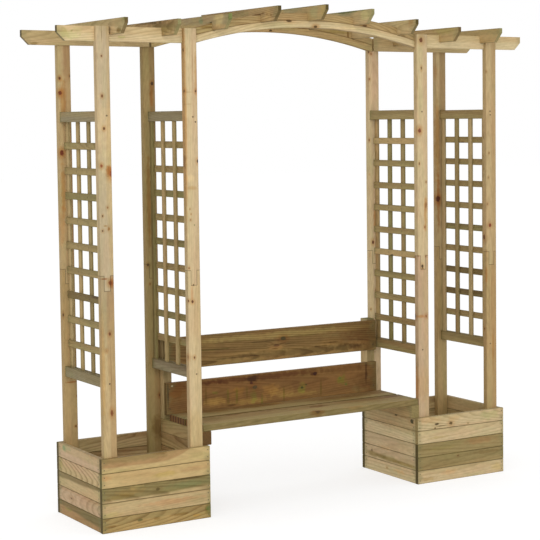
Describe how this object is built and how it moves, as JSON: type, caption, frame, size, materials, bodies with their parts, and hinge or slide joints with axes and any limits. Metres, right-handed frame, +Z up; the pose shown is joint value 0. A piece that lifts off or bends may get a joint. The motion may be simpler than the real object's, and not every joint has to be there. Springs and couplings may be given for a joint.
{
  "type": "arbour seat",
  "caption": "Timber garden arbour seat: slatted bench with backrest between planter boxes, trellis panels and an arched slatted roof.",
  "frame": {"origin": "on the ground, under the middle of the roof, centred in width and depth", "axes": "+X to the right along the bench as seen from the front, +Y to the back, +Z up"},
  "size_m": [2.394, 0.71, 2.221],
  "materials": {
    "post_wood": "planed softwood, pressure treated, light tan with red-brown knots",
    "planter_wood": "planed softwood boards, tan to olive with green tints",
    "trellis_wood": "sawn laths, olive brown",
    "roof_wood": "planed softwood, tan with olive ends",
    "seat_wood": "planed softwood, brown",
    "back_wood": "planed softwood, reddish brown with green stains",
    "frame_wood": "sawn softwood, olive brown",
    "floor_wood": "sawn softwood, unfinished"
  },
  "bodies": {
    "root": {"arch_back_lower": "roof_wood", "arch_back_upper": "roof_wood", "arch_front_lower": "roof_wood", "arch_front_upper": "roof_wood", "back_batten_left": "frame_wood", "back_batten_right": "frame_wood", "back_board_lower": "back_wood", "back_board_upper": "back_wood", "beam_left_back": "roof_wood", "beam_left_front": "roof_wood", "beam_right_back": "roof_wood", "beam_right_front": "roof_wood", "planter_floor_cleats": "floor_wood", "planter_left_back_boards": "planter_wood", "planter_left_floor_boards": "floor_wood", "planter_left_front_boards": "planter_wood", "planter_left_inner_boards": "planter_wood", "planter_left_outer_boards": "planter_wood", "planter_right_back_boards": "planter_wood", "planter_right_floor_boards": "floor_wood", "planter_right_front_boards": "planter_wood", "planter_right_inner_boards": "planter_wood", "planter_right_outer_boards": "planter_wood", "post_left_inner_back": "post_wood", "post_left_inner_front": "post_wood", "post_left_outer_back": "post_wood", "post_left_outer_front": "post_wood", "post_right_inner_back": "post_wood", "post_right_inner_front": "post_wood", "post_right_outer_back": "post_wood", "post_right_outer_front": "post_wood", "roof_slat_1": "roof_wood", "roof_slat_2": "roof_wood", "roof_slat_3": "roof_wood", "roof_slat_4": "roof_wood", "roof_slat_5": "roof_wood", "roof_slat_6": "roof_wood", "roof_slat_7": "roof_wood", "roof_slat_8": "roof_wood", "roof_slat_9": "roof_wood", "seat_bearer_left": "frame_wood", "seat_bearer_right": "frame_wood", "seat_board_back": "seat_wood", "seat_board_front": "seat_wood", "trellis_left_inner_bottom_rail": "trellis_wood", "trellis_left_inner_cross_laths": "trellis_wood", "trellis_left_inner_top_rail": "trellis_wood", "trellis_left_inner_uprights": "trellis_wood", "trellis_left_outer_bottom_rail": "trellis_wood", "trellis_left_outer_cross_laths": "trellis_wood", "trellis_left_outer_top_rail": "trellis_wood", "trellis_left_outer_uprights": "trellis_wood", "trellis_right_inner_bottom_rail": "trellis_wood", "trellis_right_inner_cross_laths": "trellis_wood", "trellis_right_inner_top_rail": "trellis_wood", "trellis_right_inner_uprights": "trellis_wood", "trellis_right_outer_bottom_rail": "trellis_wood", "trellis_right_outer_cross_laths": "trellis_wood", "trellis_right_outer_top_rail": "trellis_wood", "trellis_right_outer_uprights": "trellis_wood"}
  },
  "joints": []
}
